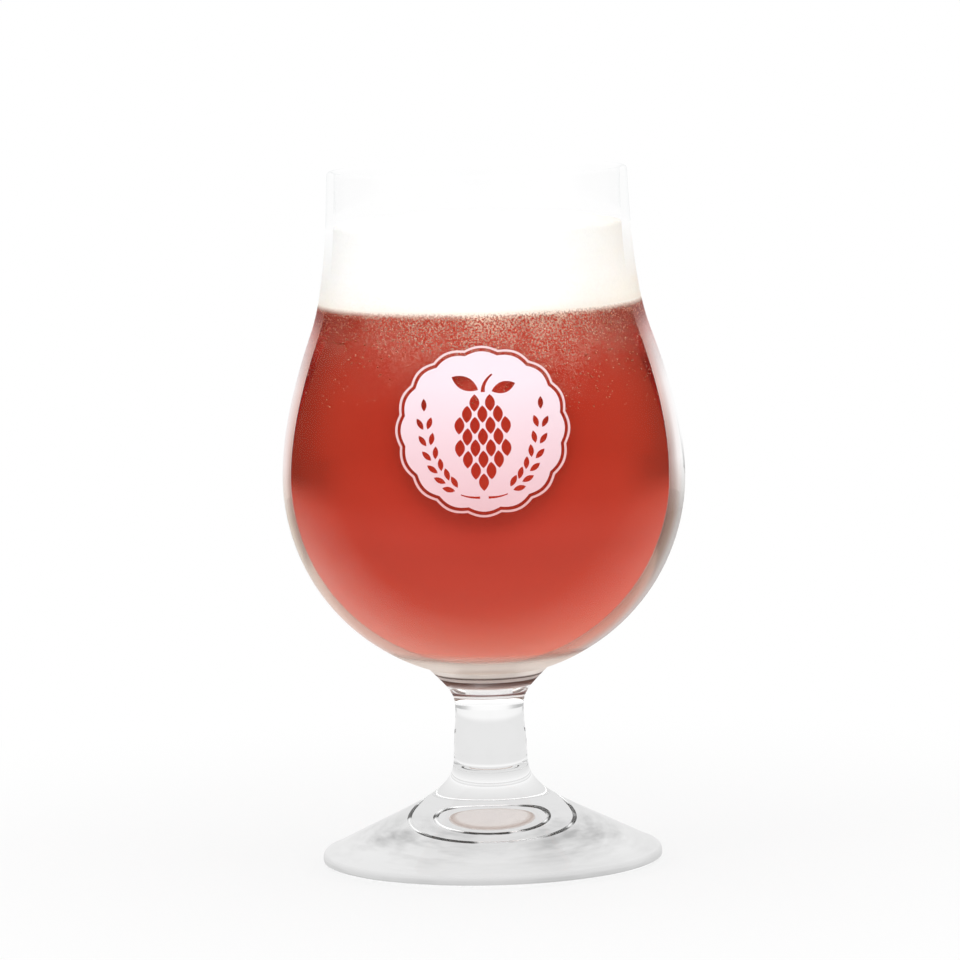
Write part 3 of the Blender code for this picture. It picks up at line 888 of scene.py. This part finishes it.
def scallop(radius):
    s = printSet
    loop = []
    for i in range(s["count"]):
        turn = math.tau * i / s["count"]
        reach = radius - s["lobeDepth"] * (1 - abs(math.cos(s["lobes"] * turn / 2)))
        loop.append((reach * math.sin(turn), reach * math.cos(turn) * s["squash"]))
    return loop


def leafLoop(x, up, length, width, lean, count=9, fullness=0.8):
    # a leaf pointed at both ends, leaning clockwise by the given degrees
    turn = math.radians(lean)
    loop = []
    for side in (1, -1):
        for i in range(count):
            share = i / count
            along = side * length * (0.5 - share)
            across = side * width / 2 * math.sin(math.pi * share) ** fullness
            loop.append((x + across * math.cos(turn) + along * math.sin(turn),
                         up - across * math.sin(turn) + along * math.cos(turn)))
    return loop


def stalkLoop(knots, width, count=14, taper=0.6):
    pull = [Vector((x, up, 0)) for x, up in knots]
    line = interpolate_bezier(*pull, count)
    left, right = [], []
    for i, point in enumerate(line):
        ahead = (line[min(i + 1, count - 1)] - line[max(i - 1, 0)]).normalized()
        half = width / 2 * (1 - taper * i / count)
        left.append((point.x - ahead.y * half, point.y + ahead.x * half))
        right.append((point.x + ahead.y * half, point.y - ahead.x * half))
    return left + right[::-1]


def hopAndBarley():
    # a hop cone between two ears of barley
    c, e = coneSet, earSet
    holes = []
    for row, count in enumerate(c["rows"]):
        for i in range(count):
            offset = (i - (count - 1) / 2) * c["across"]
            holes.append(leafLoop(offset, c["top"] - c["down"] * row, c["length"], c["width"], -offset))
    holes.append(stalkLoop(((0.2, 8.6), (0.1, 10.2), (1.0, 11.6), (2.2, 12.6)), 0.9))
    holes.append(leafLoop(-3.6, 10.6, 6.4, 3.0, -62))
    holes.append(leafLoop(4.6, 9.6, 5.4, 2.6, 72))
    for side in (-1, 1):
        knots = [Vector((side * x, up, 0)) for x, up in e["curve"]]
        line = interpolate_bezier(*knots, e["points"])
        holes.append(stalkLoop([(side * x, up) for x, up in e["stalk"]], e["stalkWidth"]))
        for i in range(e["first"], e["points"], 2):
            ahead = (line[i] - line[i - 1]).normalized()
            lean = math.degrees(math.atan2(ahead.x, ahead.y))
            for turn in (-1, 1):
                spot = line[i] + Vector((ahead.y, -ahead.x, 0)) * turn * e["apart"]
                holes.append(leafLoop(spot.x, spot.y, e["length"], e["width"], lean + turn * e["lean"], 6))
        tip = line[-1] + Vector((0, e["tip"], 0))
        holes.append(leafLoop(tip.x, tip.y, e["length"], e["width"], 0, 6))
    return [[(x * unitAcross, up * unitUp) for x, up in hole] for hole in holes]


def wrapPrint(loops, name, material, node):
    s = printSet
    bm = bmesh.new()
    for loop in loops:
        verts = [bm.verts.new((x, 0, up)) for x, up in loop]
        for pair in zip(verts, verts[1:] + verts[:1]):
            bm.edges.new(pair)
    bmesh.ops.triangle_fill(bm, use_beauty=True, use_dissolve=False, edges=bm.edges)
    reach = max(abs(v.co.x) for v in bm.verts)
    cuts = math.ceil(reach / s["cell"])
    for i in range(-cuts, cuts + 1):
        for way in (Vector((1, 0, 0)), Vector((0, 0, 1))):
            bmesh.ops.bisect_plane(bm, geom=bm.verts[:] + bm.edges[:] + bm.faces[:], dist=mergeGap,
                                   plane_co=way * i * s["cell"], plane_no=way)
    # the raised side is marked by its y until it is wrapped
    raised = bmesh.ops.extrude_face_region(bm, geom=bm.faces[:])
    for vert in raised["geom"]:
        if isinstance(vert, bmesh.types.BMVert):
            vert.co.y = 1
    outside = bowlOutside()
    below = stretch(outside, outside[0][1], bellyHeight + s["rise"])
    middle = sum(math.dist(low, high) for low, high in zip(below, below[1:]))
    for vert in bm.verts:
        radius, height = pointAlong(outside, middle + vert.co.z)
        turn = vert.co.x / radius
        radius += s["high"] if vert.co.y > 0.5 else s["low"]
        vert.co = (radius * math.sin(turn), -radius * math.cos(turn), height)
    bmesh.ops.recalc_face_normals(bm, faces=bm.faces)
    piece = pieceFrom(bm, name, [material], 50)
    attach(piece, "root")
    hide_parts(node)


def enamel(name, upper, lower):
    material, tree, shader = newMaterial(name)
    place, parts = objectParts(tree)
    # painted shade: darker and pinker towards the bottom of the print, palest near its top
    rise = rangeNode(tree, (parts, "Z"), fieldLow.z, fieldHigh.z)
    middle = tuple((a + b) / 2 for a, b in zip(lower, upper))
    shade = rampNode(tree, (rise, "Result"), [(0.0, lower), (0.45, middle), (0.8, upper)])
    grain = addNode(tree, "TexNoise", {"Scale": 700.0, "Detail": 3.0, "Vector": (place, "Object")})
    rough = rangeNode(tree, (grain, "Fac"), 0.0, 1.0, 0.3, 0.5)
    bump = addNode(tree, "Bump", {"Strength": 0.1, "Distance": 0.0001, "Height": (grain, "Fac")})
    feed(shader, "Base Color", shade, "Color")
    feed(shader, "Roughness", rough, "Result")
    feed(shader, "Normal", bump, "Normal")
    return material


def makePrint():
    s = printSet
    field, line = s["field"] / 2, s["line"] / 2
    pale = enamel("pale enamel", (0.84, 0.7, 0.76), (0.8, 0.5, 0.53))
    wrapPrint([scallop(field)] + hopAndBarley(), "print_medallion", pale, "print_field")
    outline = enamel("outline enamel", (0.78, 0.58, 0.6), (0.76, 0.42, 0.42))
    wrapPrint([scallop(line), scallop(line - s["lineWidth"])], "print_edge_line", outline,
              "print_outline")

makePrint()
print("print fired on")


# floor, world and lamps

# brightness of the room around the glass, from behind the camera to straight behind the glass
roomStops = [(0.0, 0.3), (0.02, 1.0), (0.4, 1.0), (0.55, 0.5), (0.85, 0.5), (0.93, 0.7), (0.965, 1.0)]
# how much brighter the tent is in front of the glass than behind it
tentStops = [(0.0, 1.1), (0.4, 1.1), (0.6, 0.98), (1.0, 0.98)]
# painted light: the floor glows for rays that came through glass or off a mirror, in these brightnesses
# round the glass: beside it, further out, and far away
closeStops = [(0.0, 1.0), (0.5, 1.0), (0.7, 0.8), (1.0, 0.8)]
nearStops = [(0.0, 0.3), (0.02, 0.95), (0.2, 0.95), (0.28, 0.32), (0.6, 0.4), (0.74, 0.88), (1.0, 0.95)]
farStops = [(0.0, 0.3), (0.02, 0.95), (0.2, 0.95), (0.28, 0.45), (0.6, 0.45), (0.85, 0.5), (0.92, 0.64),
            (0.97, 0.95), (1.0, 1.0)]

def aroundNode(tree, place, output, stops):
    parts = addNode(tree, "SeparateXYZ", {0: (place, output)})
    flat = addNode(tree, "CombineXYZ", {"X": (parts, "X"), "Y": (parts, "Y")})
    level = vectorNode(tree, "NORMALIZE", (flat, 0))
    turned = addNode(tree, "SeparateXYZ", {0: (level, 0)})
    turn = rangeNode(tree, (turned, "Y"), -1.0, 1.0)
    ring = rampNode(tree, (turn, "Result"), stops)
    return ring, parts


def glassRay(tree, path):
    # met after a mirror or through glass
    return mathNode(tree, "ADD", (path, "Is Glossy Ray"), (path, "Is Transmission Ray"), clamp=True)


floorSet = {
    "radius": 0.6, "drop": 0.2 * mm, "colour": (0.74, 0.74, 0.74),
    "shadow": (30 * mm, 220 * mm), "shadowDepth": 0.8, "foot": 60 * mm,      # distances from the axis
    "beside": (42 * mm, 66 * mm), "further": (135 * mm, 165 * mm), "far": (200 * mm, 235 * mm),
}

def makeFloor():
    s = floorSet
    bm = bmesh.new()
    bmesh.ops.create_circle(bm, cap_ends=True, segments=96, radius=s["radius"])
    bmesh.ops.translate(bm, vec=(0, 0, -s["drop"]), verts=bm.verts)
    material, tree, shader = newMaterial("studio floor")
    shader.inputs["Base Color"].default_value = (*s["colour"], 1)
    shader.inputs["Roughness"].default_value = 0.9
    place = addNode(tree, "TexCoord")
    away = vectorNode(tree, "LENGTH", (place, "Object"))
    # what the glass shows of it, from under the foot outwards: a glow, darkest under the foot as a painted
    # shadow
    beneath = rangeNode(tree, (away, "Value"), 0.0, s["foot"])
    paintedShadowGlow = rampNode(tree, (beneath, "Result"), [
        (0.0, 0.74), (0.3, 0.76), (0.45, 0.82), (0.56, 0.86), (0.66, 0.97), (1.0, 0.97)])
    allStops = (closeStops, nearStops, farStops)
    close, near, far = [aroundNode(tree, place, "Object", stops)[0] for stops in allStops]
    through, outer, distant = [rangeNode(tree, (away, "Value"), *s[zone], blend="SMOOTHSTEP")
                               for zone in ("beside", "further", "far")]
    nearBy = colourMix(tree, (outer, "Result"), (close, "Color"), (near, "Color"))
    ring = colourMix(tree, (distant, "Result"), (nearBy, mixed), (far, "Color"))
    underfoot = colourMix(tree, (through, "Result"), (paintedShadowGlow, "Color"), (ring, mixed))
    roomGlow = addNode(tree, "Emission", {"Color": (underfoot, mixed)})
    path = addNode(tree, "LightPath")
    seen = glassRay(tree, path)
    inGlass = shaderMix(tree, (seen, 0), (shader, "BSDF"), (roomGlow, "Emission"))
    # the camera sees it white, with the shadow by the foot
    fade = rangeNode(tree, (away, "Value"), *s["shadow"], s["shadowDepth"], 1.0, blend="SMOOTHSTEP")
    direct = mathNode(tree, "MULTIPLY", (path, "Is Camera Ray"), (fade, "Result"))
    whiteGlow = addNode(tree, "Emission", {"Color": (1, 1, 1, 1)})
    mix = shaderMix(tree, (direct, 0), (inGlass, "Shader"), (whiteGlow, "Emission"))
    show(tree, mix)
    floor = pieceFrom(bm, "studio_floor", [material])


worldSet = {"fill": 0.5, "horizon": -0.08, "tentFrom": 0.1, "tentTo": 0.8, "tentTop": 2.1}

def makeWorld():
    s = worldSet
    world = bpy.data.worlds.new("studio")
    bpy.context.scene.world = world
    world.use_nodes = True
    tree = world.node_tree
    back = tree.nodes["Background"]
    place = addNode(tree, "TexCoord")
    ring, parts = aroundNode(tree, place, "Generated", roomStops)
    tilt = rangeNode(tree, (parts, "Z"), s["horizon"], 0.0)
    tent = rangeNode(tree, (parts, "Z"), s["tentFrom"], s["tentTo"], 1.0, s["tentTop"])
    front = aroundNode(tree, place, "Generated", tentStops)[0]
    lit = addNode(tree, "VectorMath", {0: (front, "Color"), "Scale": (tent, "Result")}, operation="SCALE")
    sky = colourMix(tree, (tilt, "Result"), (ring, "Color"), (lit, 0))
    path = addNode(tree, "LightPath")
    seen = glassRay(tree, path)
    fill = (s["fill"], s["fill"], s["fill"], 1)
    pick = colourMix(tree, (seen, 0), fill, (sky, mixed))
    white = colourMix(tree, (path, "Is Camera Ray"), (pick, mixed), (1, 1, 1, 1))
    feed(back, "Color", white, mixed)


lampSet = [
    # name, place, size, watts
    ("top softbox", (0.0, 0.1, 0.9), 0.8, 1.8),
    ("front softbox", (0.1, -1.0, 0.7), 0.8, 4.2),
    ("left softbox", (-0.9, -0.5, 0.5), 0.7, 4.4),
    ("right softbox", (0.9, -0.4, 0.5), 0.7, 3.4),
]
lampAim = Vector((0, 0, 0.09))

def makeLamps():
    for name, place, size, watts in lampSet:
        data = bpy.data.lights.new(name, "AREA")
        data.shape, data.size, data.energy = "SQUARE", size, watts
        lamp = bpy.data.objects.new(name, data)
        lamp.location = place
        lamp.rotation_euler = (lampAim - Vector(place)).to_track_quat("-Z", "Y").to_euler()
        lamp.visible_glossy = False
        lamp.visible_camera = False
        bpy.context.scene.collection.objects.link(lamp)

makeFloor()
makeWorld()
makeLamps()
bpy.context.scene.view_settings.view_transform = "Standard"
print("studio lit")
